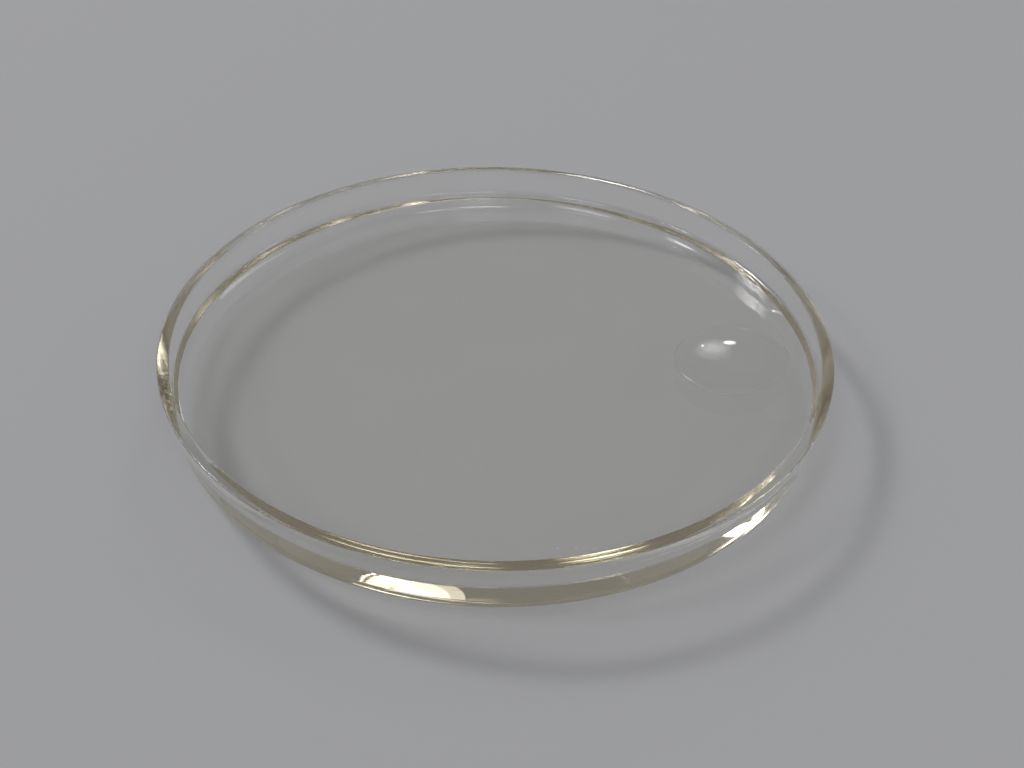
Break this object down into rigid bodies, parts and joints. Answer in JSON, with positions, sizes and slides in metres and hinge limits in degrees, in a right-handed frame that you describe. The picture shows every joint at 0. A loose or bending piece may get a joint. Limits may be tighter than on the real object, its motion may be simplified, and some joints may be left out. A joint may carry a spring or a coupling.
{
  "type": "watch crystal",
  "caption": "Round, shallow-domed clear acrylic watch crystal with a short flared skirt and a small round date magnifier bonded inside the face.",
  "frame": {"origin": "the top of the dome, which is the lowest point as the crystal lies face down; bottom centre of the whole part", "axes": "+Z along the crystal's axis, from the dome towards the open rim; +X from the axis towards the date magnifier"},
  "size_m": [0.031, 0.031, 0.0035],
  "materials": {
    "clear_acrylic": "polished, clear, with a faint warm tint at the edges",
    "lens_acrylic": "polished, clear",
    "clear_cement": "clear cured film"
  },
  "bodies": {
    "root": {"crystal_body": "clear_acrylic", "date_magnifier": "lens_acrylic", "magnifier_cement": "clear_cement"}
  },
  "joints": []
}
